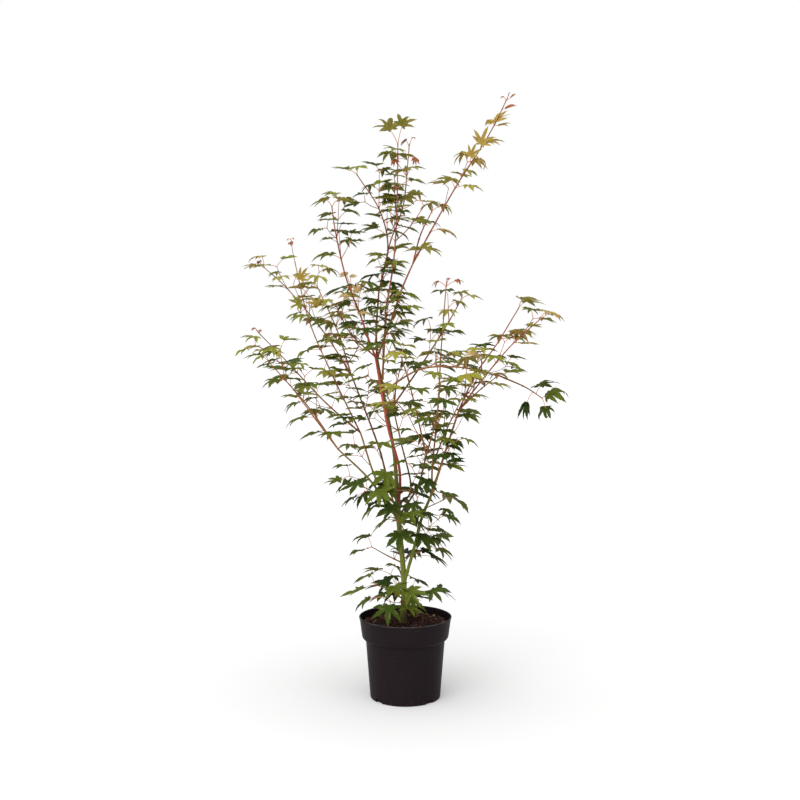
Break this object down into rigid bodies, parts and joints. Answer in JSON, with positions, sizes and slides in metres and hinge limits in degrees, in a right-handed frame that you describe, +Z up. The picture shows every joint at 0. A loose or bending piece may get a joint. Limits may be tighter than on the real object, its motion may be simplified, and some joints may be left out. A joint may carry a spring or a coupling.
{
  "type": "potted japanese maple",
  "caption": "Young upright Japanese maple shrub with slender stems and palmate green leaves, growing in a round black nursery pot of bark compost.",
  "frame": {"origin": "centre of the pot's flat underside", "axes": "+Z up, -Y is the front, +X to the right seen from the front"},
  "size_m": [0.688, 0.521, 1.2098],
  "materials": {
    "pot": "matt black injection-moulded plastic, faint scuffs",
    "soil": "damp dark bark compost",
    "trunk_bark": "smooth olive green young bark with grey-brown patches",
    "bough_bark": "smooth red to orange-brown young bark, satin",
    "foliage_low": "dark green leaves, faint sheen",
    "foliage_mid": "mid green leaves, faint sheen",
    "foliage_fresh": "fresh yellow-green leaves, faint sheen",
    "foliage_gold": "gold and bronze tinted young leaves, faint sheen"
  },
  "bodies": {
    "root": {"pot": "pot", "soil": "soil", "trunk": "trunk_bark", "right_stem": "bough_bark", "red_leader": "bough_bark", "bough_left_low": "bough_bark", "bough_left": "bough_bark", "bough_left_rear": "bough_bark", "bough_rear": "bough_bark", "bough_front": "bough_bark", "bough_rear_right": "bough_bark", "bough_arching": "bough_bark", "bough_centre": "bough_bark", "bough_upper_left": "bough_bark", "bough_upper_rear": "bough_bark", "bough_right_leader": "bough_bark", "bough_right": "bough_bark", "bough_right_upright": "bough_bark", "leaves_foot_front": "foliage_low", "leaves_foot_left": "foliage_low", "leaves_foot_right": "foliage_low", "leaves_foot_rear": "foliage_low", "leaves_low_left": "foliage_low", "leaves_low_right": "foliage_low", "leaves_low_front": "foliage_low", "leaves_mid_left": "foliage_low", "leaves_mid_front": "foliage_low", "leaves_mid_right": "foliage_low", "leaves_right_inner": "foliage_mid", "leaves_front_left": "foliage_mid", "leaves_front_right": "foliage_mid", "leaves_rear_centre": "foliage_mid", "leaves_left_low_outer": "foliage_mid", "leaves_left_low_inner": "foliage_mid", "leaves_left_outer": "foliage_mid", "leaves_left_upper": "foliage_mid", "leaves_rear_left_outer": "foliage_mid", "leaves_rear_left_upper": "foliage_mid", "leaves_left_middle": "foliage_fresh", "leaves_upper_left": "foliage_fresh", "leaves_upper_left_centre": "foliage_fresh", "leaves_upper_rear": "foliage_fresh", "leaves_top_centre": "foliage_fresh", "leaves_upper_right": "foliage_fresh", "leaves_top_right": "foliage_gold", "leaves_right_upright": "foliage_mid", "leaves_right_low": "foliage_mid", "leaves_right_outer": "foliage_fresh", "leaves_right_far": "foliage_fresh", "leaves_rear_right": "foliage_mid", "leaves_arching_tip": "foliage_low"}
  },
  "joints": []
}
